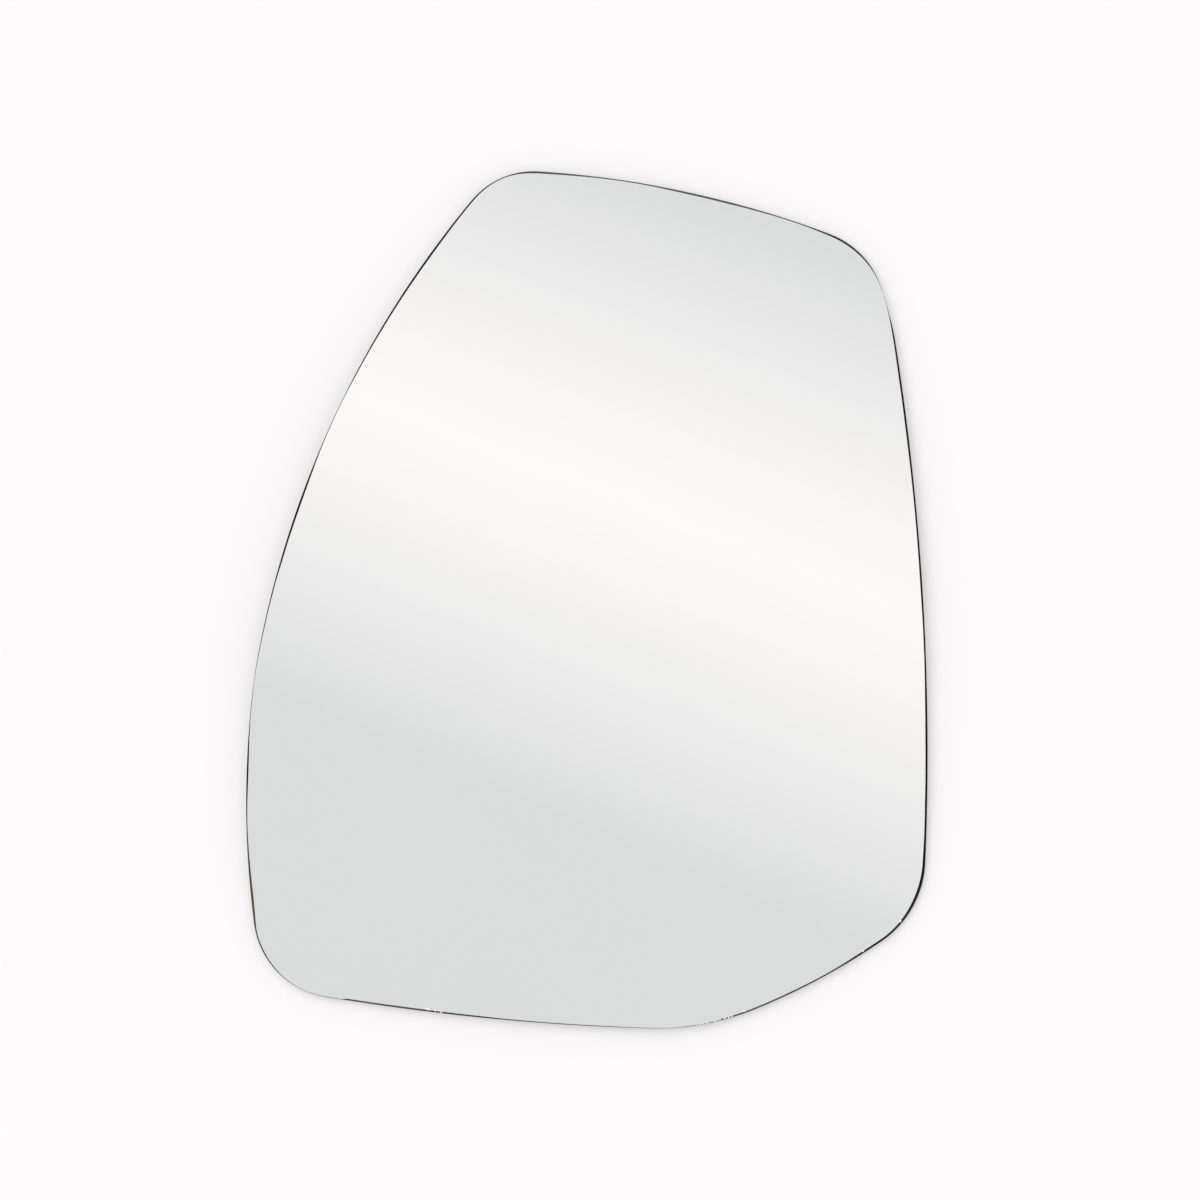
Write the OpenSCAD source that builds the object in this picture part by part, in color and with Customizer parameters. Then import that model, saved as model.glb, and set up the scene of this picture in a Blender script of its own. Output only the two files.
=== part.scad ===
// Convex glass of a car door mirror, one bent plate with ground edges. Millimetres.
// It lies dome up with its rim on Z = 0. +Y is up as fitted, +X is right seen from the front.

/* [Glass] */
// Width over the edges
glass_w = 163.5; // [150:0.1:180]
// Height over the edges
glass_h = 205.8; // [190:0.1:220]
// Thickness of the glass
glass_t = 2; // [1.6:0.1:3]
// Radius of the convex front face
front_r = 1400; // [1200:20:2400]
// Width of the ground arris along the front and the back edge
arris = 0.4; // [0.2:0.05:0.6]

/* [Corner places] */
// Upper right corner, from the middle, as a share of the pattern's width
upper_right_x = 0.4085; // [0.4025:0.0005:0.4115]
// Upper right corner, from the middle, as a share of the pattern's height
upper_right_y = 0.4105; // [0.4045:0.0005:0.4135]
// Upper left corner, from the middle, as a share of the pattern's width
upper_left_x = -0.13; // [-0.133:0.0005:-0.124]
// Upper left corner, from the middle, as a share of the pattern's height
upper_left_y = 0.502; // [0.496:0.0005:0.505]
// Bend of the left side, from the middle, as a share of the pattern's width
left_bend_x = -0.4865; // [-0.4885:0.0005:-0.4825]
// Bend of the left side, from the middle, as a share of the pattern's height
left_bend_y = -0.084; // [-0.09:0.0005:-0.078]
// Lower left corner, from the middle, as a share of the pattern's width
lower_left_x = -0.4745; // [-0.4785:0.0005:-0.4705]
// Lower left corner, from the middle, as a share of the pattern's height
lower_left_y = -0.4505; // [-0.4545:0.0005:-0.4465]
// Bend of the bottom side, from the middle, as a share of the pattern's width
bottom_bend_x = 0.167; // [0.157:0.0005:0.177]
// Bend of the bottom side, from the middle, as a share of the pattern's height
bottom_bend_y = -0.501; // [-0.507:0.0005:-0.495]
// Lower right corner, from the middle, as a share of the pattern's width
lower_right_x = 0.4935; // [0.4875:0.0005:0.4975]
// Lower right corner, from the middle, as a share of the pattern's height
lower_right_y = -0.3635; // [-0.3735:0.0005:-0.3535]
// Bend of the right side, from the middle, as a share of the pattern's width
right_bend_x = 0.451; // [0.448:0.0005:0.455]
// Bend of the right side, from the middle, as a share of the pattern's height
right_bend_y = 0.3095; // [0.3035:0.0005:0.3175]

/* [Corner roundings] */
// Radius of the upper right corner
upper_right_r = 20; // [16:0.5:24]
// Radius of the upper left corner
upper_left_r = 19.5; // [15.5:0.5:23.5]
// Radius of the bend of the left side
left_bend_r = 120; // [90:5:150]
// Radius of the lower left corner
lower_left_r = 20.5; // [16.5:0.5:24.5]
// Radius of the bend of the bottom side
bottom_bend_r = 63; // [50:1:75]
// Radius of the lower right corner
lower_right_r = 24; // [20:0.5:27]
// Radius of the bend of the right side
right_bend_r = 50; // [40:5:60]

/* [Bows of the sides] */
// Radius of the top side
top_r = 245; // [230:5:260]
// Radius of the side from the upper left corner to the left bend
shoulder_r = 240; // [230:5:260]
// Radius of the side from the left bend to the lower left corner
flank_r = 230; // [215:5:250]
// Radius of the side from the lower left corner to the bottom bend
bottom_r = 580; // [530:10:650]
// Radius of the side from the bottom bend to the lower right corner
cut_side_r = 170; // [155:5:185]
// Radius of the side from the lower right corner to the right bend
right_r = 650; // [610:10:710]
// Radius of the side from the right bend to the upper right corner
right_end_r = 105; // [90:5:120]

/* [Hidden] */
// Size of the pattern that the corners and radii are drawn on; it is stretched to the full size
pattern_w = 163.5;
pattern_h = 205.8;
// Longest piece of the outline that one facet covers
facet_len = 6;
// Largest turn of the outline within one facet
facet_deg = 6;
// Rings of facets from the crown of a face to its rim
face_rings = 6;
// Times that the crown is moved towards the place where three corners touch the ground together
rest_rounds = 6;
back_r = front_r - glass_t;
glass_tint = [0.87, 0.88, 0.875];

// The seven corners run anticlockwise, and each side bow runs from its corner to the next one
corners = [
    [upper_right_x * pattern_w, upper_right_y * pattern_h],
    [upper_left_x * pattern_w, upper_left_y * pattern_h],
    [left_bend_x * pattern_w, left_bend_y * pattern_h],
    [lower_left_x * pattern_w, lower_left_y * pattern_h],
    [bottom_bend_x * pattern_w, bottom_bend_y * pattern_h],
    [lower_right_x * pattern_w, lower_right_y * pattern_h],
    [right_bend_x * pattern_w, right_bend_y * pattern_h]
];
corner_r = [upper_right_r, upper_left_r, left_bend_r, lower_left_r, bottom_bend_r, lower_right_r, right_bend_r];
side_r = [top_r, shoulder_r, flank_r, bottom_r, cut_side_r, right_r, right_end_r];
corner_count = len(corners);
// The corners that touch the ground: upper right, lower left and lower right
rest_corners = [0, 3, 5];

function after(i) = (i + 1) % corner_count;
function before(i) = (i + corner_count - 1) % corner_count;
function heading(v) = atan2(v.y, v.x);
function left_of(v) = [-v.y, v.x] / norm(v);

// Centre of the bow of radius r that bulges outwards from corner a to corner b
function bow_centre(a, b, r) = (a + b) / 2 + left_of(b - a) * sqrt(r * r - (b - a) * (b - a) / 4);

// Where a circle of radius r1 about c1 crosses one of radius r2 about c2, on the side of a near point
function crossing(c1, r1, c2, r2, near) =
    let (
        gap = norm(c2 - c1),
        along = (c2 - c1) / gap,
        reach = (r1 * r1 - r2 * r2 + gap * gap) / (2 * gap),
        rise = left_of(along) * sqrt(r1 * r1 - reach * reach),
        foot = c1 + along * reach
    )
    norm(foot + rise - near) < norm(foot - rise - near) ? foot + rise : foot - rise;

bow_centres = [for (i = [0:corner_count - 1]) bow_centre(corners[i], corners[after(i)], side_r[i])];
round_centres = [
    for (i = [0:corner_count - 1])
        crossing(
            bow_centres[before(i)], side_r[before(i)] - corner_r[i],
            bow_centres[i], side_r[i] - corner_r[i], corners[i]
        )
];
// Directions in which each rounding takes over from the side before it and gives way to the side after it
round_from = [for (i = [0:corner_count - 1]) heading(round_centres[i] - bow_centres[before(i)])];
round_to = [for (i = [0:corner_count - 1]) heading(round_centres[i] - bow_centres[i])];

// Points of an anticlockwise arc, without its last one
function arc(centre, r, from, to) =
    let (
        sweep = (to - from + 360) % 360,
        steps = ceil(max(sweep / facet_deg, sweep * PI * r / (180 * facet_len)))
    )
    [for (k = [0:steps - 1]) let (a = from + sweep * k / steps) centre + r * [cos(a), sin(a)]];

drawn = [
    for (i = [0:corner_count - 1]) each concat(
        arc(round_centres[i], corner_r[i], round_from[i], round_to[i]),
        arc(bow_centres[i], side_r[i], round_to[i], round_from[after(i)])
    )
];
drawn_low = [min([for (p = drawn) p.x]), min([for (p = drawn) p.y])];
drawn_high = [max([for (p = drawn) p.x]), max([for (p = drawn) p.y])];

// Brings a drawn point to the full width and height, with the middle at the origin
function fitted(p) =
    let (from_middle = p - (drawn_low + drawn_high) / 2, size = drawn_high - drawn_low)
    [from_middle.x * glass_w / size.x, from_middle.y * glass_h / size.y];

outline = [for (p = drawn) fitted(p)];
outline_count = len(outline);

// The rim of each face lies inside the outline by the width of the arris
rim = [
    for (i = [0:outline_count - 1])
        let (next = outline[(i + 1) % outline_count], last = outline[(i + outline_count - 1) % outline_count])
        outline[i] + arris * left_of(next - last)
];

// Centre of the circle through three points
function circle_centre(p) =
    let (
        a = p[1] - p[0],
        b = p[2] - p[0],
        turn = 2 * (a.x * b.y - a.y * b.x)
    )
    p[0] + [b.y * (a * a) - a.y * (b * b), a.x * (b * b) - b.x * (a * a)] / turn;

// Point of a rounded corner that is farthest from a place
function corner_tip(i, place) =
    let (away = round_centres[i] - place)
    fitted(round_centres[i] + corner_r[i] * away / norm(away));

// A domed plate settles until three corners are equally far from its crown
function rest_crown(place, rounds) =
    rounds == 0 ? place : rest_crown(circle_centre([for (i = rest_corners) corner_tip(i, place)]), rounds - 1);

crown = rest_crown([0, 0], rest_rounds);

// Height of a sphere of radius r over the common centre of both faces, at a place in plan
function dome(p, r) = sqrt(r * r - (p - crown) * (p - crown));

ground = min([for (p = rim) dome(p, back_r)]);

function on_front(p, depth = 0) = [p.x, p.y, dome(p, front_r) - ground - depth];
function on_back(p, depth = 0) = [p.x, p.y, dome(p, back_r) - ground + depth];

function from_crown(p, share) = crown + (p - crown) * share;

// Rings of points from the crown of the front, over both arrises, to the crown of the back
rings = concat(
    [for (k = [1:face_rings]) [for (p = rim) on_front(from_crown(p, k / face_rings))]],
    [[for (p = outline) on_front(p, arris)]],
    [[for (p = outline) on_back(p, arris)]],
    [for (k = [face_rings:-1:1]) [for (p = rim) on_back(from_crown(p, k / face_rings))]]
);

module mirror_glass() {
    ring_count = len(rings);
    front_crown = ring_count * outline_count;
    back_crown = front_crown + 1;
    last_ring = (ring_count - 1) * outline_count;
    color(glass_tint)
    polyhedron(
        points = concat([for (ring = rings) each ring], [on_front(crown), on_back(crown)]),
        faces = [
            for (i = [0:outline_count - 1])
                let (j = (i + 1) % outline_count)
                each concat(
                    [[front_crown, j, i]],
                    [
                        for (k = [0:ring_count - 2])
                            let (a = k * outline_count, b = a + outline_count)
                            each [[a + i, b + j, b + i], [a + i, a + j, b + j]]
                    ],
                    [[last_ring + i, last_ring + j, back_crown]]
                )
        ],
        convexity = 2
    );
}

mirror_glass();
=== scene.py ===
import math

import bpy
from bpy.props import FloatProperty, FloatVectorProperty, IntProperty, PointerProperty
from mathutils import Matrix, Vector


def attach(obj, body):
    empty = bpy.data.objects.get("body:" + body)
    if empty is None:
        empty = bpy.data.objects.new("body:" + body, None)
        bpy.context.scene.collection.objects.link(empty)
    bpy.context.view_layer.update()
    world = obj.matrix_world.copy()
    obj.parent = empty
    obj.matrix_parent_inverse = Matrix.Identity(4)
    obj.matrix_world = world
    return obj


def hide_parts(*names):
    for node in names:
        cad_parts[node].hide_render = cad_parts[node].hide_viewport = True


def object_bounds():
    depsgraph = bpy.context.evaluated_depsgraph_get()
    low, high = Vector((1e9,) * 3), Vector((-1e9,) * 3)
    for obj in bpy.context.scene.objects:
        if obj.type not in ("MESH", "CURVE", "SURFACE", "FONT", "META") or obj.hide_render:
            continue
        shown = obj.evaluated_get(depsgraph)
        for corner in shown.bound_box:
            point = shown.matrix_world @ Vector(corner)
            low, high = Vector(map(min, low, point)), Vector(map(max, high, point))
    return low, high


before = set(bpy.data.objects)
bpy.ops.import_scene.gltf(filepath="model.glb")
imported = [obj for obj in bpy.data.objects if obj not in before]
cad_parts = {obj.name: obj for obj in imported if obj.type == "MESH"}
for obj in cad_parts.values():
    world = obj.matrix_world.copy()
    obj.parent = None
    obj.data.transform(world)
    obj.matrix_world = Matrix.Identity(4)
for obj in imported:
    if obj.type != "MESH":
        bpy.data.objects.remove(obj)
CAD_LOW, CAD_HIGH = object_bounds()
CAD_SIZE = CAD_HIGH - CAD_LOW

bl_info = {
    "name": "Door mirror glass",
    "version": (1, 0, 0),
    "blender": (4, 5, 0),
    "location": "3D View > Sidebar > Mirror glass",
    "description": "Builds a convex door mirror glass with ground edges and its studio",
    "category": "Add Mesh",
}

NODE = "mirror_glass"
BODY = "root"
MM = 0.001

# The photograph is 1200 pixels wide, and one of its pixels is this long on the glass
PHOTO_PIXELS = 1200
PHOTO_PIXEL = 0.24012 * MM
PHOTO_MIDDLE = Vector((600.0, 600.0))
# The pixel of the photograph where the middle of the glass lies
GLASS_MIDDLE = Vector((587.0, 599.75))

# Size of the pattern that the corners and radii are drawn on; it is stretched to the full size
PATTERN = Vector((163.5, 205.8)) * MM
# The corners of the outline, anticlockwise
CORNERS = (
    "upper_right", "upper_left", "left_bend", "lower_left", "bottom_bend", "lower_right", "right_bend",
)
# The corners that touch the ground: upper right, lower left and lower right
REST_CORNERS = (0, 3, 5)
# Times that the crown is moved towards the place where those corners touch the ground together
REST_ROUNDS = 6

# Places on the edge are given by their direction from the middle of the glass, in degrees
# anticlockwise from the right.
# Chips along the front edge: place, length along the edge and depth into the face
CHIPS = (
    (-111.4, 0.55 * MM, 0.35 * MM),
    (-111.1, 0.55 * MM, 0.3 * MM),
    (-110.25, 0.5 * MM, 0.25 * MM),
    (-109.85, 0.55 * MM, 0.3 * MM),
    (-72.45, 0.6 * MM, 0.15 * MM),
    (-71.8, 0.6 * MM, 0.2 * MM),
    (-69.1, 0.5 * MM, 0.25 * MM),
    (-51.9, 0.6 * MM, 0.2 * MM),
    (-45.7, 0.6 * MM, 0.15 * MM),
)
# Nicks that go right through the arris of the bottom edge: place and length along the edge
NICKS = (
    (-109.45, 0.4 * MM),
    (-75.55, 0.4 * MM),
    (-75.1, 0.5 * MM),
    (-74.65, 0.4 * MM),
    (-74.15, 0.6 * MM),
    (-73.1, 0.6 * MM),
    (-72.45, 0.7 * MM),
    (-71.8, 0.8 * MM),
    (-71.25, 0.6 * MM),
    (-70.8, 0.4 * MM),
)

# Width of the front arris round the plate, in shares of the even arris: the grinder bit deep
# where the share is high
ARRIS_SHARES = (
    (-178, 0.6), (-166, 0.25), (-162, 0.35), (-153, 1.1), (-147, 0.65), (-138, 1.5), (-134, 0.9),
    (-126, 0.2), (-121.6, 0.3), (-120.9, 1.05), (-114, 1.2), (-106, 1.0), (-100, 0.65), (-88, 0.45),
    (-79, 0.2), (-75, 0.4), (-72.7, 0.5), (-72.3, 1.05), (-69, 1.1), (-58, 0.85), (-50, 1.45),
    (-40, 1.9), (-34, 1.4), (-20, 1.45), (-9, 1.1), (2, 1.25), (14, 1.15), (34, 1.35), (40, 1.1),
    (45.5, 0.1), (54, 1.4), (61, 0.6), (74, 1.35), (85, 0.65), (96.5, 1.35), (101.5, 0.6), (106, 0.95),
    (115, 1.35), (124, 1.1), (134, 0.75), (142, 0.35), (147, 0.4), (160, 1.3), (170, 1.2), (178, 0.75),
)

# Tones of the ground edge. They are painted reflection: the dark and pale stretches round the plate stand
# in for the surroundings that the arris reflects
BLACK = (0.005, 0.004, 0.001)
DARK = (0.03, 0.031, 0.028)
GREY = (0.1, 0.1, 0.1)
BROWN = (0.1, 0.094, 0.078)
UMBER = (0.1, 0.086, 0.05)
# Where each tone of the painted reflection on the edge is fullest
EDGE_PAINTED_REFLECTION = (
    (-150, BLACK), (-145, DARK), (-138, UMBER), (-132, DARK), (-130, BLACK), (-123, DARK), (-121, UMBER),
    (-113, UMBER), (-109, DARK), (-100, BLACK), (-95, GREY), (-91, BLACK), (-78, DARK), (-73, GREY),
    (-67, GREY), (-61, BLACK), (-55, DARK), (-50, BLACK), (-47, DARK), (-40, BLACK), (48, BLACK),
    (52, DARK), (62, BLACK), (72, GREY), (80, GREY), (84, BLACK), (90, GREY), (93, GREY), (96, BROWN),
    (99, DARK), (101, BLACK),
)


class PlateShape(bpy.types.PropertyGroup):
    """Sizes of the bent plate and the corners of its outline"""

    width: FloatProperty(
        name="Width", description="Width over the edges",
        default=CAD_SIZE.x, min=0.1, unit="LENGTH",
    )
    height: FloatProperty(
        name="Height", description="Height over the edges",
        default=CAD_SIZE.y, min=0.1, unit="LENGTH",
    )
    thickness: FloatProperty(
        name="Thickness", description="Thickness of the glass",
        default=2 * MM, min=MM, unit="LENGTH",
    )
    front_radius: FloatProperty(
        name="Front radius", description="Radius of the convex front",
        default=1.4, min=0.5, unit="LENGTH",
    )
    arris: FloatProperty(
        name="Arris", description="Width of the ground arris",
        default=0.4 * MM, min=0.1 * MM, unit="LENGTH",
    )
    waviness: FloatProperty(
        name="Waviness", description="Share by which the arris wavers", default=0.15, min=0, max=0.6
    )
    upper_right: FloatVectorProperty(
        name="Upper right", description="Corner, in shares of the pattern",
        size=2, default=(0.4085, 0.4105),
    )
    upper_left: FloatVectorProperty(
        name="Upper left", description="Corner, in shares of the pattern",
        size=2, default=(-0.13, 0.502),
    )
    left_bend: FloatVectorProperty(
        name="Left bend", description="Corner, in shares of the pattern",
        size=2, default=(-0.4865, -0.084),
    )
    lower_left: FloatVectorProperty(
        name="Lower left", description="Corner, in shares of the pattern",
        size=2, default=(-0.4745, -0.4505),
    )
    bottom_bend: FloatVectorProperty(
        name="Bottom bend", description="Corner, in shares of the pattern",
        size=2, default=(0.167, -0.501),
    )
    lower_right: FloatVectorProperty(
        name="Lower right", description="Corner, in shares of the pattern",
        size=2, default=(0.4935, -0.3635),
    )
    right_bend: FloatVectorProperty(
        name="Right bend", description="Corner, in shares of the pattern",
        size=2, default=(0.451, 0.3095),
    )
    corner_radii: FloatVectorProperty(
        name="Corner radii",
        description="Rounding of each corner, from the upper right one anticlockwise",
        size=7, default=(0.02, 0.0195, 0.12, 0.0205, 0.063, 0.024, 0.05), unit="LENGTH",
    )
    side_radii: FloatVectorProperty(
        name="Side radii", description="Bow of the side that follows each corner",
        size=7, default=(0.245, 0.24, 0.23, 0.58, 0.17, 0.65, 0.105), unit="LENGTH",
    )
    side_step: FloatProperty(
        name="Side step", description="Step between points along the sides",
        default=0.2 * MM, unit="LENGTH",
    )
    corner_step: FloatProperty(
        name="Corner step", description="Step between points round the corners",
        default=0.1 * MM, unit="LENGTH",
    )
    front_rings: IntProperty(
        name="Front rings", description="Rings of faces on the front", default=8, min=4
    )
    back_rings: IntProperty(
        name="Back rings", description="Rings of faces on the back", default=5, min=4
    )
    seed: IntProperty(name="Seed", description="Seed of the edge's irregularities", default=7)


class PlateFinish(bpy.types.PropertyGroup):
    """Colours and gloss of the glass"""

    silver: FloatVectorProperty(
        name="Silver", description="Tint of the reflection",
        subtype="COLOR", default=(0.94, 0.955, 0.945),
    )
    silver_roughness: FloatProperty(
        name="Silver roughness", description="Roughness of the mirror face",
        default=0.02, min=0, max=1,
    )
    edge_roughness: FloatProperty(
        name="Edge roughness", description="Roughness of the ground edge",
        default=0.42, min=0, max=1,
    )
    fracture: FloatVectorProperty(
        name="Fracture", description="Colour of fresh chips",
        subtype="COLOR", default=(0.85, 0.88, 0.87),
    )
    # Painted glint: fresh chips glow with this colour, which stands in for light that their fractures
    # catch
    painted_glint: FloatVectorProperty(
        name="Glint", description="Light that fresh chips scatter",
        subtype="COLOR", default=(0.5, 0.5, 0.5),
    )
    wall: FloatVectorProperty(
        name="Wall", description="Colour of the side of the plate",
        subtype="COLOR", default=(0.13, 0.165, 0.15),
    )
    back_paint: FloatVectorProperty(
        name="Back paint", description="Paint over the silver",
        subtype="COLOR", default=(0.19, 0.2, 0.21),
    )


class Studio(bpy.types.PropertyGroup):
    """Floor, light and camera"""

    camera_height: FloatProperty(
        name="Camera height", description="Height of the lens over the rim",
        default=1.2, min=0.3, unit="LENGTH",
    )
    floor_colour: FloatVectorProperty(
        name="Floor", description="Colour of the floor",
        subtype="COLOR", default=(0.64, 0.629, 0.634),
    )
    backdrop: FloatVectorProperty(
        name="Backdrop", description="Colour of the background",
        subtype="COLOR", default=(0.983, 0.965, 0.974),
    )
    room_light: FloatProperty(
        name="Room light", description="Strength of the even light from all sides",
        default=0.7, min=0,
    )
    key_light: FloatProperty(
        name="Key light", description="Strength of the large soft lamp", default=1.1, min=0
    )
    band_colour: FloatVectorProperty(
        name="Band", description="Colour of the bright band that the glass reflects",
        subtype="COLOR", default=(1.07, 1.003, 1.012), soft_max=2,
    )
    haze_colour: FloatVectorProperty(
        name="Haze", description="Colour that the glass reflects half way out of the band",
        subtype="COLOR", default=(0.902, 0.889, 0.895),
    )
    sky_colour: FloatVectorProperty(
        name="Sky", description="Colour that the glass reflects beside the band",
        subtype="COLOR", default=(0.752, 0.756, 0.755),
    )
    dusk_colour: FloatVectorProperty(
        name="Dusk", description="Colour that the glass reflects from low down in the room",
        subtype="COLOR", default=(0.4, 0.41, 0.405),
    )
    band_angle: FloatProperty(
        name="Band angle", description="Fall of the band towards the right", subtype="ANGLE",
        default=math.radians(21.4),
    )
    band_offset: FloatProperty(
        name="Band offset", description="Distance on the glass from its middle to the brightest line",
        default=25.6 * MM, unit="LENGTH",
    )
    band_reach: FloatProperty(
        name="Band reach", description="Distance on the glass over which the band fades",
        default=75 * MM, unit="LENGTH",
    )
    band_fan: FloatProperty(
        name="Band fan", description="How far the lines of the band spread towards the right",
        default=0.17,
    )


class Value:
    """A socket of a node tree; an expression on it adds Math nodes"""

    def __init__(self, tree, socket):
        self.tree = tree
        self.socket = socket

    def __add__(self, other):
        return self.tree.math("ADD", self, other)

    __radd__ = __add__

    def __sub__(self, other):
        return self.tree.math("SUBTRACT", self, other)

    def __rsub__(self, other):
        return self.tree.math("SUBTRACT", other, self)

    def __mul__(self, other):
        return self.tree.math("MULTIPLY", self, other)

    __rmul__ = __mul__

    def __truediv__(self, other):
        return self.tree.math("DIVIDE", self, other)

    def __rtruediv__(self, other):
        return self.tree.math("DIVIDE", other, self)

    def __mod__(self, other):
        return self.tree.math("MODULO", self, other)

    def clamp(self):
        """The value held between 0 and 1"""
        return self.tree.math("ADD", self, 0.0, clamp=True)


class Tree:
    """Adds nodes to one node tree"""

    def __init__(self, owner):
        self.owner = owner
        self.nodes = owner.nodes
        self.links = owner.links

    def node(self, kind, settings=None, inputs=None, out=None):
        """Adds a node, sets it up, feeds its sockets and returns it, or the output that is named"""
        made = self.nodes.new(kind)
        for name, value in (settings or {}).items():
            if name == "stops":
                self.set_stops(made.color_ramp, value)
            else:
                setattr(made, name, value)
        for name, value in (inputs or {}).items():
            index = name if isinstance(name, int) else self.socket_index(made.inputs, name)
            self.feed(made.inputs[index], value)
        return Value(self, made.outputs[self.socket_index(made.outputs, out)]) if out else made

    @staticmethod
    def socket_index(sockets, name):
        """The first socket of that name that is in use"""
        return next(i for i, s in enumerate(sockets) if s.name == name and s.enabled)

    @staticmethod
    def set_stops(ramp, stops):
        """Gives a colour ramp its stops"""
        while len(ramp.elements) > 1:
            ramp.elements.remove(ramp.elements[-1])
        for i, (position, colour) in enumerate(stops):
            element = ramp.elements[0] if i == 0 else ramp.elements.new(position)
            element.position = position
            element.color = (*colour, 1)

    def feed(self, socket, value):
        """Links a value to a socket, or sets the socket"""
        if isinstance(value, Value):
            self.links.new(value.socket, socket)
        elif isinstance(value, bpy.types.NodeSocket):
            self.links.new(value, socket)
        else:
            socket.default_value = value

    def math(self, operation, *values, clamp=False):
        """A Math node on numbers"""
        settings = {"operation": operation, "use_clamp": clamp}
        return self.node("ShaderNodeMath", settings, dict(enumerate(values)), out="Value")

    def vector(self, operation, *values, out="Vector"):
        """A Vector Math node"""
        inputs = {("Scale" if operation == "SCALE" and i == 1 else i): v for i, v in enumerate(values)}
        return self.node("ShaderNodeVectorMath", {"operation": operation}, inputs, out=out)

    def mix(self, factor, a, b):
        """A Mix node on colours"""
        settings = {"data_type": "RGBA", "clamp_factor": True}
        return self.node("ShaderNodeMix", settings, {"Factor": factor, "A": a, "B": b}, out="Result")

    def smooth_step(self, value, low, high):
        """Rises smoothly from 0 at low to 1 at high"""
        inputs = {"Value": value, "From Min": low, "From Max": high}
        return self.node("ShaderNodeMapRange", {"interpolation_type": "SMOOTHSTEP"}, inputs, out="Result")

    def noise(self, place, scale, detail=2.0, seed=0.0):
        """A 4D noise, which the seed moves"""
        inputs = {"Vector": place, "W": seed, "Scale": scale, "Detail": detail}
        return self.node("ShaderNodeTexNoise", {"noise_dimensions": "4D"}, inputs, out="Fac")


def left_of(v):
    """Unit vector to the left of v"""
    return Vector((-v.y, v.x)).normalized()


def bow_centre(a, b, radius):
    """Centre of the bow that bulges outwards from corner a to corner b"""
    return (a + b) / 2 + left_of(b - a) * math.sqrt(radius**2 - (b - a).length_squared / 4)


def crossing(c1, r1, c2, r2, near):
    """Where two circles cross, on the side of a near point"""
    gap = (c2 - c1).length
    along = (c2 - c1) / gap
    reach = (r1**2 - r2**2 + gap**2) / (2 * gap)
    rise = left_of(along) * math.sqrt(r1**2 - reach**2)
    foot = c1 + along * reach
    return min(foot + rise, foot - rise, key=lambda p: (p - near).length)


def heading(v):
    """Direction of v, in radians"""
    return math.atan2(v.y, v.x)


def arc(centre, radius, start, end, spacing):
    """Points of an anticlockwise arc, without its last one"""
    sweep = (end - start) % (2 * math.pi)
    steps = max(4, math.ceil(sweep * radius / spacing))
    angles = (start + sweep * k / steps for k in range(steps))
    return [centre + radius * Vector((math.cos(a), math.sin(a))) for a in angles]


def circle_centre(a, b, c):
    """Centre of the circle through three points"""
    b, c = b - a, c - a
    turn = 2 * (b.x * c.y - b.y * c.x)
    bb, cc = b.length_squared, c.length_squared
    return a + Vector((c.y * bb - b.y * cc, b.x * cc - c.x * bb)) / turn


class Outline:
    """The rounded outline of the plate, and the crown of its dome"""

    def __init__(self, shape):
        size = Vector((shape.width, shape.height))
        corners = [Vector(getattr(shape, name)) * PATTERN for name in CORNERS]
        self.rounding = list(shape.corner_radii)
        side = list(shape.side_radii)
        count = len(corners)
        bows = [bow_centre(corners[i], corners[(i + 1) % count], side[i]) for i in range(count)]
        self.centres = [
            crossing(bows[i - 1], side[i - 1] - radius, bows[i], side[i] - radius, corners[i])
            for i, radius in enumerate(self.rounding)
        ]
        start = [heading(self.centres[i] - bows[i - 1]) for i in range(count)]
        end = [heading(self.centres[i] - bows[i]) for i in range(count)]
        drawn = []
        for i in range(count):
            drawn += arc(self.centres[i], self.rounding[i], start[i], end[i], shape.corner_step)
            drawn += arc(bows[i], side[i], end[i], start[(i + 1) % count], shape.side_step)
        low = Vector((min(p.x for p in drawn), min(p.y for p in drawn)))
        high = Vector((max(p.x for p in drawn), max(p.y for p in drawn)))
        self.middle = (low + high) / 2
        self.stretch = Vector((size.x / (high.x - low.x), size.y / (high.y - low.y)))
        self.points = [self.fitted(p) for p in drawn]
        n = len(self.points)
        self.inward = [left_of(self.points[(i + 1) % n] - self.points[i - 1]) for i in range(n)]
        self.crown = self.rest_crown()

    def fitted(self, p):
        """Brings a drawn point to the full width and height"""
        return (p - self.middle) * self.stretch

    def corner_tip(self, i, place):
        """Point of a rounded corner that is farthest from a place"""
        away = (self.centres[i] - place).normalized()
        return self.fitted(self.centres[i] + self.rounding[i] * away)

    def rest_crown(self):
        """Where the crown settles: equally far from the three corners that the plate lies on"""
        crown = Vector((0, 0))
        for _ in range(REST_ROUNDS):
            crown = circle_centre(*(self.corner_tip(i, crown) for i in REST_CORNERS))
        return crown


def outline_mesh(outline):
    """A mesh of the outline's points, which carry what the plate's tree reads at each of them"""
    mesh = bpy.data.meshes.new("outline")
    mesh.from_pydata([(*p, 0) for p in outline.points], [], [])
    inward = mesh.attributes.new("inward", "FLOAT_VECTOR", "POINT")
    inward.data.foreach_set("vector", [x for v in outline.inward for x in (*v, 0)])
    places = [(math.degrees(heading(p)), p.length) for p in outline.points]
    for name, rule in (("arris_share", arris_share), ("chip", chip_depth), ("nick", nick_share)):
        layer = mesh.attributes.new(name, "FLOAT", "POINT")
        layer.data.foreach_set("value", [rule(turn, radius) for turn, radius in places])
    return mesh


def arris_share(turn, _):
    """Width of the front arris at a turn, in shares of the even arris"""
    before, after = ARRIS_SHARES[-1], ARRIS_SHARES[0]
    for stop in ARRIS_SHARES:
        if stop[0] > turn:
            after = stop
            break
        before = stop
    share = ((turn - before[0]) % 360) / ((after[0] - before[0]) % 360)
    eased = share * share * (3 - 2 * share)
    return before[1] + (after[1] - before[1]) * eased


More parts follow.
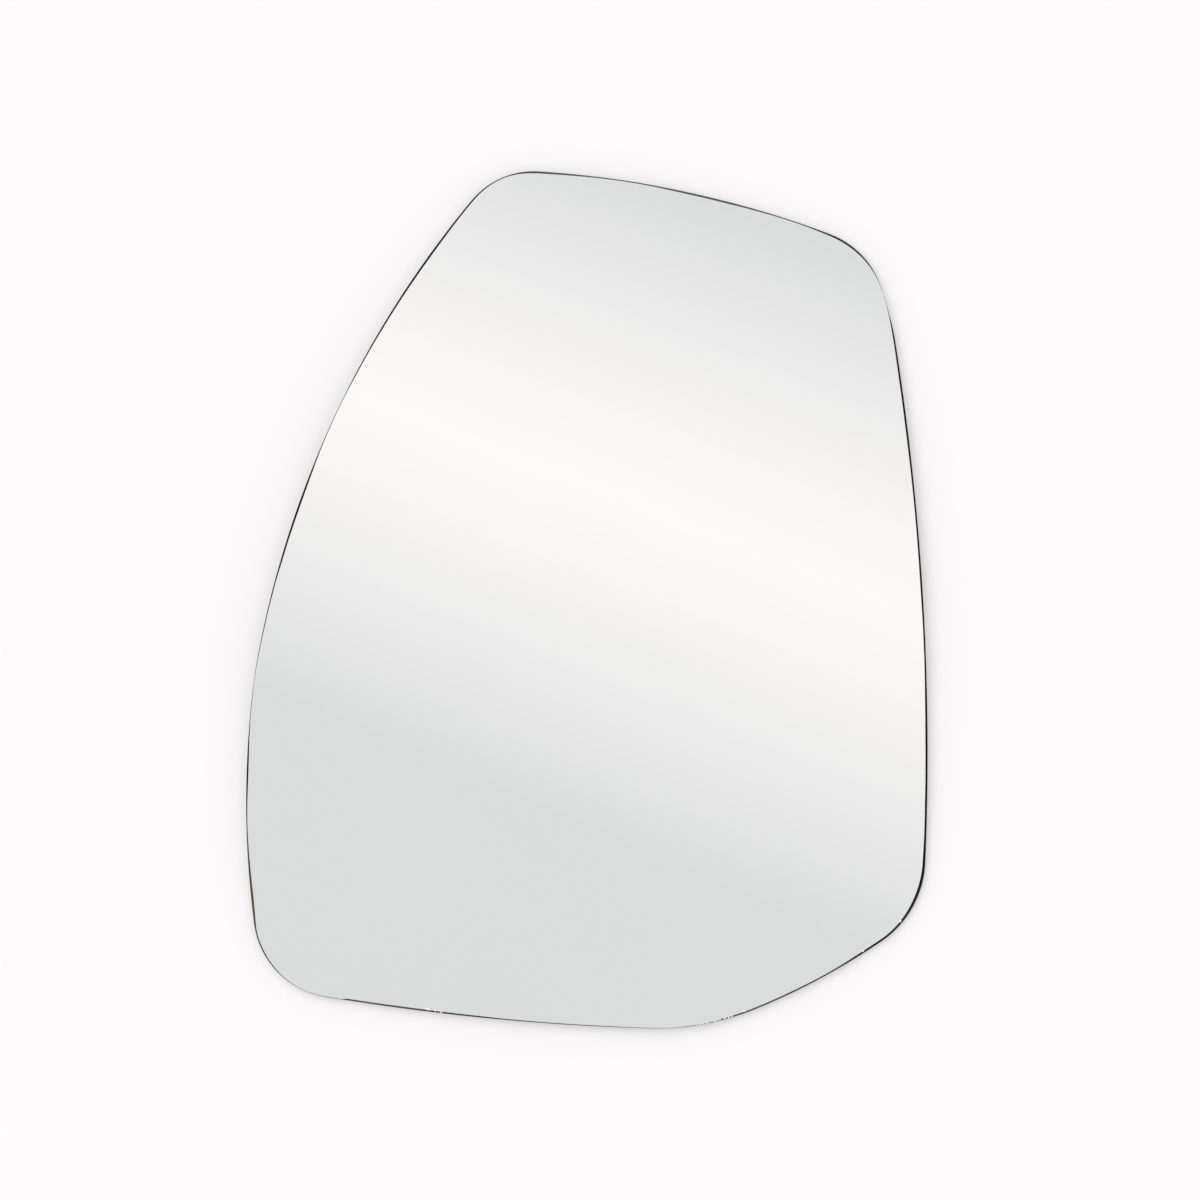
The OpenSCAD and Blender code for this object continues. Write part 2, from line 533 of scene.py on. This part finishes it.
def bite(turn, radius, place, length):
    """1 in the middle of a bite of some length at a place on the edge, falling to 0 at its ends"""
    away = radius * math.radians(turn - place)
    return max(0.0, 1 - (2 * away / length) ** 2)


def chip_depth(turn, radius):
    """How deep the chips reach into the face at a turn"""
    return max(depth * math.sqrt(bite(turn, radius, place, length)) for place, length, depth in CHIPS)


def nick_share(turn, radius):
    """Share of the arris that the nicks take at a turn"""
    return max(min(1.0, 2 * bite(turn, radius, place, length)) for place, length in NICKS)


# Rows of faces across each arris and across the wall between them
ARRIS_STEPS = 3
WALL_STEPS = 2
# Size of the irregularities of the arris
WAVE_SCALE = 90.0
# Share of the arris that a nick leaves
NICK_FLOOR = 0.1
# Depth of a chip that is pale and carries the painted glint all over
BRIGHT_DEPTH = 0.1 * MM
# How far a chip is hollowed, as a share of its depth
CHIP_HOLLOW = 0.35
# Points closer than this are one
SAME_POINT = 1e-6
# Numbers of rings closer than this are the same
SAME_RING = 0.1


def new_tree(name, inputs):
    """A geometry tree with named inputs, and its input node"""
    group = bpy.data.node_groups.new(name, "GeometryNodeTree")
    for label, kind in inputs:
        group.interface.new_socket(label, in_out="INPUT", socket_type=f"NodeSocket{kind}")
    group.interface.new_socket("Geometry", in_out="OUTPUT", socket_type="NodeSocketGeometry")
    tree = Tree(group)
    return tree, tree.node("NodeGroupInput")


def plate_tree():
    """Lofts rings of points from the front's crown, over the ground edge, to the back's crown"""
    names = (
        ("Outline", "Geometry"), ("Outline Points", "Int"), ("Front Rings", "Int"), ("Back Rings", "Int"),
        ("Front Radius", "Float"), ("Thickness", "Float"), ("Arris", "Float"), ("Waviness", "Float"),
        ("Crown", "Vector"), ("Crown Height", "Float"), ("Seed", "Float"),
        ("Silver", "Material"), ("Ground Edge", "Material"), ("Back Paint", "Material"),
    )
    tree, given = new_tree("bent_plate", names)
    value = {label: Value(tree, given.outputs[label]) for label, _ in names}
    points, radius, arris = value["Outline Points"], value["Front Radius"], value["Arris"]
    rims = value["Front Rings"], value["Back Rings"]
    last_ring = rims[0] + rims[1] + (2 * ARRIS_STEPS + WALL_STEPS)

    size = {"Vertices X": last_ring + 1, "Vertices Y": points + 1}
    grid = tree.node("GeometryNodeMeshGrid", None, size, "Mesh")
    index = tree.node("GeometryNodeInputIndex", out="Index")
    ring = tree.math("FLOOR", index / (points + 1))
    along = (index % (points + 1)) % points

    def at_outline(name, data_type):
        """What the outline holds at this point's place along it"""
        if name == "position":
            field = tree.node("GeometryNodeInputPosition", out="Position")
        else:
            settings = {"data_type": data_type}
            field = tree.node("GeometryNodeInputNamedAttribute", settings, {"Name": name}, "Attribute")
        settings = {"data_type": data_type, "domain": "POINT"}
        inputs = {"Geometry": value["Outline"], "Value": field, "Index": along}
        return tree.node("GeometryNodeSampleIndex", settings, inputs, "Value")

    outer = at_outline("position", "FLOAT_VECTOR")
    inward = at_outline("inward", "FLOAT_VECTOR")
    arris_share = at_outline("arris_share", "FLOAT")
    wear = at_outline("chip", "FLOAT")
    nick = at_outline("nick", "FLOAT")

    wave = tree.noise(outer, WAVE_SCALE, 3.0, value["Seed"])
    back_wave = tree.noise(outer, WAVE_SCALE, 3.0, value["Seed"] + 1)
    kept = 1 - nick * (1 - NICK_FLOOR)
    front_arris = arris * arris_share * (1 + value["Waviness"] * (2 * wave - 1)) * kept + wear
    back_arris = arris * (1 + value["Waviness"] * back_wave)

    step = ring - rims[0]
    over_front = (step / ARRIS_STEPS).clamp()
    down_wall = ((step - ARRIS_STEPS) / WALL_STEPS).clamp()
    over_back = ((step - ARRIS_STEPS - WALL_STEPS) / ARRIS_STEPS).clamp()
    hollow = wear * (4 * CHIP_HOLLOW) * over_front * (1 - over_front)
    inset = front_arris * (1 - over_front) + back_arris * over_back + hollow
    share = tree.math("MINIMUM", (ring / rims[0]).clamp(), ((last_ring - ring) / rims[1]).clamp())
    # The rings crowd towards the rim
    share = share * (2 - share)

    inset_outer = tree.vector("ADD", outer, tree.vector("SCALE", inward, inset))
    from_crown = tree.vector("SUBTRACT", inset_outer, value["Crown"])
    plan = tree.vector("SCALE", from_crown, share)
    reach = tree.vector("DOT_PRODUCT", plan, plan, out="Value")

    def fall(sphere):
        """How far a sphere lies under its crown at this point"""
        return reach / (sphere + tree.math("SQRT", sphere * sphere - reach))

    front = value["Crown Height"] - fall(radius) - front_arris * over_front - hollow
    back = value["Crown Height"] - value["Thickness"] - fall(radius - value["Thickness"])
    back = back + back_arris * (1 - over_back)
    height = front * (1 - down_wall) + back * down_wall
    lift = tree.node("ShaderNodeCombineXYZ", None, {"Z": height}, "Vector")
    place = tree.vector("ADD", tree.vector("ADD", plan, value["Crown"]), lift)

    plate = tree.node("GeometryNodeSetPosition", None, {"Geometry": grid, "Position": place}, "Geometry")
    store = "GeometryNodeStoreNamedAttribute"
    fields = (
        ("ring", ring),
        ("fresh", (wear / BRIGHT_DEPTH + nick).clamp() * (1 - over_front)),
        ("side", (step - ARRIS_STEPS).clamp()),
        ("from_rim", tree.vector("LENGTH", from_crown, out="Value") * (1 - share)),
    )
    for name, field in fields:
        settings = {"data_type": "FLOAT", "domain": "POINT"}
        plate = tree.node(store, settings, {"Geometry": plate, "Name": name, "Value": field}, "Geometry")
    inputs = {"Geometry": plate, "Distance": SAME_POINT}
    plate = tree.node("GeometryNodeMergeByDistance", None, inputs, "Geometry")

    settings = {"data_type": "FLOAT"}
    ring_of = tree.node("GeometryNodeInputNamedAttribute", settings, {"Name": "ring"}, "Attribute")
    front_rim, back_rim = rims[0], last_ring - rims[1]
    off_rim = tree.math(
        "MINIMUM", tree.math("ABSOLUTE", ring_of - front_rim), tree.math("ABSOLUTE", ring_of - back_rim)
    )
    on_rim = tree.math("LESS_THAN", off_rim, SAME_RING)
    inputs = {"Geometry": plate, "Name": "sharp_edge", "Value": on_rim}
    plate = tree.node(store, {"data_type": "BOOLEAN", "domain": "EDGE"}, inputs, "Geometry")
    plate = tree.node("GeometryNodeSetShadeSmooth", None, {"Geometry": plate}, "Geometry")
    plate = tree.node("GeometryNodeRealizeInstances", None, {"Geometry": plate}, "Geometry")
    for material, chosen in (
        (value["Ground Edge"], True),
        (value["Silver"], tree.math("LESS_THAN", ring_of, front_rim)),
        (value["Back Paint"], tree.math("GREATER_THAN", ring_of, back_rim)),
    ):
        inputs = {"Geometry": plate, "Selection": chosen, "Material": material}
        plate = tree.node("GeometryNodeSetMaterial", None, inputs, "Geometry")
    tree.node("NodeGroupOutput", None, {"Geometry": plate})
    return tree.owner


# How fine the patterns of the finishes are, in waves per metre
POLISH_CLOUD = 18.0
EDGE_SPECKLE = 2000.0
EDGE_PATCHES = 60.0
GRINDING_MARKS = 2500.0
PAINT_CLOUD = 25.0
PAINT_GRAIN = 1400.0
PAINT_RAG = 450.0
# How much the grinding marks are squashed in height, so that they run along the edge
MARKS_SQUASH = 6
# Depth of the grinding marks and of the skin of the paint
MARKS_DEPTH = 0.02 * MM
SKIN_DEPTH = 0.03 * MM
# How light the speckles are on the arris and on the wall
ARRIS_SPECKLE = 0.04
WALL_SPECKLE = 0.3
# Darkest share of each colour that isn't quite even
DULL_SILVER = 0.985
DULL_WALL = 0.7
DULL_PAINT = 0.82
# Where the paint ends short of the rim, and how far its ragged edge wanders
PAINT_RIM = (0.75 * MM, 0.85 * MM)
RAG_REACH = 1.2 * MM


def shade(colour, share=1.0):
    """A colour that is darkened to a share, with its alpha"""
    return (*(Vector(colour) * share), 1)


def new_material(name):
    """An empty material, its tree and its Principled shader"""
    material = bpy.data.materials.new(name)
    material.use_nodes = True
    tree = Tree(material.node_tree)
    tree.nodes.clear()
    shader = tree.node("ShaderNodeBsdfPrincipled")
    tree.node("ShaderNodeOutputMaterial", None, {"Surface": shader.outputs["BSDF"]})
    return material, tree, shader


def object_place(tree):
    """Place on the piece, in metres"""
    return tree.node("ShaderNodeTexCoord", out="Object")


def silver_material(finish):
    """Bright silver behind clear glass, with the faintest unevenness in its polish"""
    material, tree, shader = new_material("silvered_glass")
    place = object_place(tree)
    cloud = tree.noise(place, POLISH_CLOUD, 4.0, 1.0)
    tint = tree.mix(cloud, shade(finish.silver), shade(finish.silver, DULL_SILVER))
    tree.feed(shader.inputs["Base Color"], tint)
    tree.feed(shader.inputs["Metallic"], 1.0)
    tree.feed(shader.inputs["Roughness"], finish.silver_roughness * (0.5 + cloud))
    return material


def attribute(tree, name):
    """A number that the mesh carries"""
    return tree.node("ShaderNodeAttribute", {"attribute_name": name}, None, "Fac")


def edge_material(finish):
    """Ground glass edge: its tone changes round the plate as a painted reflection, with grinding marks,
    and chips that are pale and glow with a painted glint
    """
    material, tree, shader = new_material("ground_edge")
    place = object_place(tree)
    x, y = (tree.node("ShaderNodeSeparateXYZ", None, {"Vector": place}, axis) for axis in "XY")
    turn = tree.math("ARCTAN2", y, x) / (2 * math.pi) + 0.5
    # Painted reflection: the arris is darker or paler by its direction round the plate, as if it
    # reflected the room
    stops = [((degrees + 180) / 360, tone) for degrees, tone in EDGE_PAINTED_REFLECTION]
    arris_painted_tone = tree.node("ShaderNodeValToRGB", {"stops": stops}, {"Fac": turn}, "Color")
    speckle = tree.noise(place, EDGE_SPECKLE, 3.0, 2.0)
    patches = tree.noise(place, EDGE_PATCHES, 3.0, 3.0)
    light = tree.smooth_step(speckle, 0.55, 0.8)
    arris_painted_tone = tree.mix(light * ARRIS_SPECKLE, arris_painted_tone, shade(GREY))
    light = tree.smooth_step(speckle, 0.55, 0.85)
    wall_tone = tree.mix(patches, shade(finish.wall), shade(finish.wall, DULL_WALL))
    wall_tone = tree.mix(light * WALL_SPECKLE, wall_tone, shade(finish.fracture))
    tone = tree.mix(tree.smooth_step(attribute(tree, "side"), 0.0, 0.3), arris_painted_tone, wall_tone)
    fresh = tree.smooth_step(attribute(tree, "fresh"), 0.35, 0.6)
    tone = tree.mix(fresh, tone, shade(finish.fracture))
    tree.feed(shader.inputs["Base Color"], tone)
    tree.feed(shader.inputs["Roughness"], finish.edge_roughness + speckle * 0.15 - fresh * 0.25)
    # Painted glint: fresh chips glow, though the glass is no lamp
    tree.feed(shader.inputs["Emission Color"], tree.mix(fresh, (0, 0, 0, 1), shade(finish.painted_glint)))
    tree.feed(shader.inputs["Emission Strength"], 1.0)
    tree.feed(shader.inputs["Specular IOR Level"], 0.05)
    squash = {"Vector": place, "Scale": (1, 1, MARKS_SQUASH)}
    marks = tree.noise(tree.node("ShaderNodeMapping", None, squash, "Vector"), GRINDING_MARKS, 2.0, 4.0)
    inputs = {"Strength": 0.25, "Distance": MARKS_DEPTH, "Height": marks}
    bump = tree.node("ShaderNodeBump", None, inputs, "Normal")
    tree.feed(shader.inputs["Normal"], bump)
    return material


def paint_material(finish):
    """Matt protective paint on the back, with the fine skin of a rolled coat and a ragged rim"""
    material, tree, shader = new_material("back_paint")
    place = object_place(tree)
    cloud = tree.noise(place, PAINT_CLOUD, 4.0, 5.0)
    grain = tree.noise(place, PAINT_GRAIN, 3.0, 6.0)
    rag = tree.noise(place, PAINT_RAG, 4.0, 7.0)
    dull = shade(finish.back_paint, DULL_PAINT)
    tone = tree.mix(cloud * 0.7 + grain * 0.3, shade(finish.back_paint), dull)
    bare = 1 - tree.smooth_step(attribute(tree, "from_rim") + rag * RAG_REACH, *PAINT_RIM)
    tone = tree.mix(bare, tone, shade(finish.silver))
    tree.feed(shader.inputs["Base Color"], tone)
    tree.feed(shader.inputs["Metallic"], bare)
    tree.feed(shader.inputs["Roughness"], 0.5 + cloud * 0.15 - bare * 0.25)
    inputs = {"Strength": 0.35, "Distance": SKIN_DEPTH, "Height": grain - bare}
    bump = tree.node("ShaderNodeBump", None, inputs, "Normal")
    tree.feed(shader.inputs["Normal"], bump)
    return material


def set_inputs(modifier, values):
    """Sets a modifier's inputs by the identifiers of their sockets"""
    for item in modifier.node_group.interface.items_tree:
        if item.item_type == "SOCKET" and item.in_out == "INPUT" and item.name in values:
            modifier[item.identifier] = values[item.name]


def as_plain_mesh(maker, name):
    """A new object with the mesh that the maker's modifiers give, and the maker removed"""
    graph = bpy.context.evaluated_depsgraph_get()
    mesh = bpy.data.meshes.new_from_object(maker.evaluated_get(graph), depsgraph=graph)
    mesh.name = name
    if mesh.materials and mesh.materials[0] is None:
        mesh.materials.pop(index=0)
    old = maker.data
    bpy.data.objects.remove(maker)
    bpy.data.meshes.remove(old)
    piece = bpy.data.objects.new(name, mesh)
    bpy.context.collection.objects.link(piece)
    return piece


class MIRRORGLASS_OT_plate(bpy.types.Operator):
    """Builds the bent glass plate in place of the plain solid"""

    bl_idname = "mirrorglass.plate"
    bl_label = "Glass plate"

    def execute(self, context):
        shape, finish = context.scene.plate_shape, context.scene.plate_finish
        outline = Outline(shape)
        back_radius = shape.front_radius - shape.thickness
        rim = [p + shape.arris * inward for p, inward in zip(outline.points, outline.inward)]
        ground = min(math.sqrt(back_radius**2 - (p - outline.crown).length_squared) for p in rim)
        maker = bpy.data.objects.new("plate_maker", outline_mesh(outline))
        context.collection.objects.link(maker)
        modifier = maker.modifiers.new("bent_plate", "NODES")
        modifier.node_group = plate_tree()
        set_inputs(modifier, {
            "Outline Points": len(outline.points),
            "Front Rings": shape.front_rings,
            "Back Rings": shape.back_rings,
            "Front Radius": shape.front_radius,
            "Thickness": shape.thickness,
            "Arris": shape.arris,
            "Waviness": shape.waviness,
            "Crown": (*outline.crown, 0.0),
            "Crown Height": shape.front_radius - ground,
            "Seed": float(shape.seed),
            "Silver": silver_material(finish),
            "Ground Edge": edge_material(finish),
            "Back Paint": paint_material(finish),
        })
        piece = as_plain_mesh(maker, "mirror_glass_plate")
        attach(piece, BODY)
        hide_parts(NODE)
        return {"FINISHED"}


# Kinds of rays that show the background as it is, and not as it lights the room
LOOKING_RAYS = ("Camera", "Glossy", "Transmission")
FLOOR_REACH = 12.0
# How far up the dusk reaches, from 0 at the horizon to 1 straight up
DUSK_TOP = 0.85
# The band isn't drawn flatter than this rise of a reflected ray
BAND_FLOOR = 0.05
# Share of the band's reach over which its brightest line is rounded
BAND_ROUNDING = 0.05
# Narrowest share of itself that the band keeps where its lines draw together
BAND_NARROWEST = 0.3
# The way that the lamp shines, downwards and to the lower right, and how large it looks
LAMP_WAY = Vector((0.5, -0.45, -1.1))
LAMP_SIZE = math.radians(60)
# Nearest that the camera sees
CAMERA_NEAR = 0.05


def add_floor(studio):
    """A wide pale floor, lifted to the colour of the backdrop where the camera sees it"""
    mesh = bpy.data.meshes.new("floor")
    corners = [(x * FLOOR_REACH, y * FLOOR_REACH, 0) for x, y in ((-1, -1), (1, -1), (1, 1), (-1, 1))]
    mesh.from_pydata(corners, [], [(0, 1, 2, 3)])
    floor = bpy.data.objects.new("floor", mesh)
    bpy.context.collection.objects.link(floor)
    material, tree, shader = new_material("floor_paper")
    tree.feed(shader.inputs["Base Color"], shade(studio.floor_colour))
    tree.feed(shader.inputs["Roughness"], 1.0)
    tree.feed(shader.inputs["Specular IOR Level"], 0.0)
    path = tree.node("ShaderNodeLightPath")
    camera, glossy, through = (Value(tree, path.outputs[f"Is {kind} Ray"]) for kind in LOOKING_RAYS)
    seen = (camera + glossy + through).clamp()
    lift = Vector(studio.backdrop) - Vector(studio.floor_colour)
    glow = tree.node("ShaderNodeEmission", None, {"Color": shade(lift), "Strength": seen}, "Emission")
    both = tree.node("ShaderNodeAddShader", None, {0: shader.outputs["BSDF"], 1: glow}, "Shader")
    output = next(n for n in tree.nodes if n.type == "OUTPUT_MATERIAL")
    tree.feed(output.inputs["Surface"], both)
    mesh.materials.append(material)


def band_in_glass(studio, shape):
    """Direction across the band, and its middle and reach as slopes of the reflected rays"""
    across = Vector((math.sin(studio.band_angle), math.cos(studio.band_angle)))
    crown = Outline(shape).crown
    camera = picture_middle()
    from_camera = (studio.band_offset - across.dot(camera)) / studio.camera_height
    from_dome = 2 * (studio.band_offset - across.dot(crown)) / shape.front_radius
    per_metre = 1 / studio.camera_height + 2 / shape.front_radius
    return across, from_camera + from_dome, studio.band_reach * per_metre


def set_world(studio, shape):
    """White for the camera, even light for matt surfaces and a soft bright band for the mirror"""
    world = bpy.data.worlds.new("studio")
    bpy.context.scene.world = world
    world.use_nodes = True
    tree = Tree(world.node_tree)
    tree.nodes.clear()
    way = tree.node("ShaderNodeTexCoord", out="Generated")
    x, y, z = (tree.node("ShaderNodeSeparateXYZ", None, {"Vector": way}, axis) for axis in "XYZ")
    up = tree.math("MAXIMUM", z, BAND_FLOOR)
    across, middle, reach = band_in_glass(studio, shape)
    over = (x * across.x + y * across.y) / up - middle
    beside = (x * across.y - y * across.x) / up
    fan = tree.math("MAXIMUM", 1 + beside * studio.band_fan, BAND_NARROWEST)
    over = over / fan
    soft = BAND_ROUNDING * reach
    bright = 1 + soft / reach - tree.math("SQRT", over * over + soft**2) / reach
    sky = tree.mix((2 * bright).clamp(), shade(studio.sky_colour), shade(studio.haze_colour))
    sky = tree.mix((2 * bright - 1).clamp(), sky, shade(studio.band_colour))
    sky = tree.mix(1 - tree.smooth_step(z, 0.0, DUSK_TOP), sky, shade(studio.dusk_colour))
    path = tree.node("ShaderNodeLightPath")
    camera, glossy, through = (Value(tree, path.outputs[f"Is {kind} Ray"]) for kind in LOOKING_RAYS)
    room = tree.mix(glossy, shade((1, 1, 1), studio.room_light), sky)
    colour = tree.mix((camera + through).clamp(), room, shade(studio.backdrop))
    light = tree.node("ShaderNodeBackground", None, {"Color": colour}, "Background")
    tree.node("ShaderNodeOutputWorld", None, {"Surface": light})


def add_key(studio):
    """A very large soft lamp from the upper left, which the mirror doesn't show"""
    lamp = bpy.data.lights.new("key", "SUN")
    lamp.angle = LAMP_SIZE
    lamp.energy = studio.key_light
    key = bpy.data.objects.new("key", lamp)
    key.rotation_mode = "QUATERNION"
    key.rotation_quaternion = LAMP_WAY.to_track_quat("-Z", "Y")
    key.visible_glossy = False
    bpy.context.collection.objects.link(key)


def picture_middle():
    """The point of the glass under the middle of the photograph"""
    offset = (PHOTO_MIDDLE - GLASS_MIDDLE) * PHOTO_PIXEL
    return Vector((offset.x, -offset.y))


def add_camera(studio, shape):
    """Looks straight down on the glass, as the photograph looks straight at it"""
    camera = bpy.data.objects.new("camera", bpy.data.cameras.new("camera"))
    camera.location = (*picture_middle(), shape.thickness + studio.camera_height)
    camera.data.lens = camera.data.sensor_width * studio.camera_height / (PHOTO_PIXELS * PHOTO_PIXEL)
    camera.data.clip_start = CAMERA_NEAR
    bpy.context.collection.objects.link(camera)
    bpy.context.scene.camera = camera


class MIRRORGLASS_OT_stage(bpy.types.Operator):
    """Adds the floor, the light and the camera"""

    bl_idname = "mirrorglass.stage"
    bl_label = "Studio"

    def execute(self, context):
        studio, shape = context.scene.mirror_studio, context.scene.plate_shape
        context.scene.view_settings.view_transform = "Standard"
        add_floor(studio)
        set_world(studio, shape)
        add_key(studio)
        add_camera(studio, shape)
        return {"FINISHED"}


class MIRRORGLASS_PT_panel(bpy.types.Panel):
    """Lists the sizes, colours and steps of the mirror glass"""

    bl_label = "Mirror glass"
    bl_idname = "MIRRORGLASS_PT_panel"
    bl_space_type = "VIEW_3D"
    bl_region_type = "UI"
    bl_category = "Mirror glass"

    def draw(self, context):
        for key in GROUPS:
            group = getattr(context.scene, key)
            box = self.layout.box()
            for name in group.__annotations__:
                box.prop(group, name)
        for operator in (MIRRORGLASS_OT_plate, MIRRORGLASS_OT_stage):
            self.layout.operator(operator.bl_idname)


GROUPS = {"plate_shape": PlateShape, "plate_finish": PlateFinish, "mirror_studio": Studio}
CLASSES = (*GROUPS.values(), MIRRORGLASS_OT_plate, MIRRORGLASS_OT_stage, MIRRORGLASS_PT_panel)


def register():
    for cls in CLASSES:
        bpy.utils.register_class(cls)
    for name, cls in GROUPS.items():
        setattr(bpy.types.Scene, name, PointerProperty(type=cls))


def unregister():
    for name in GROUPS:
        delattr(bpy.types.Scene, name)
    for cls in reversed(CLASSES):
        bpy.utils.unregister_class(cls)


def main():
    """Builds everything"""
    register()
    bpy.ops.mirrorglass.plate()
    bpy.ops.mirrorglass.stage()


if __name__ == "__main__":
    main()
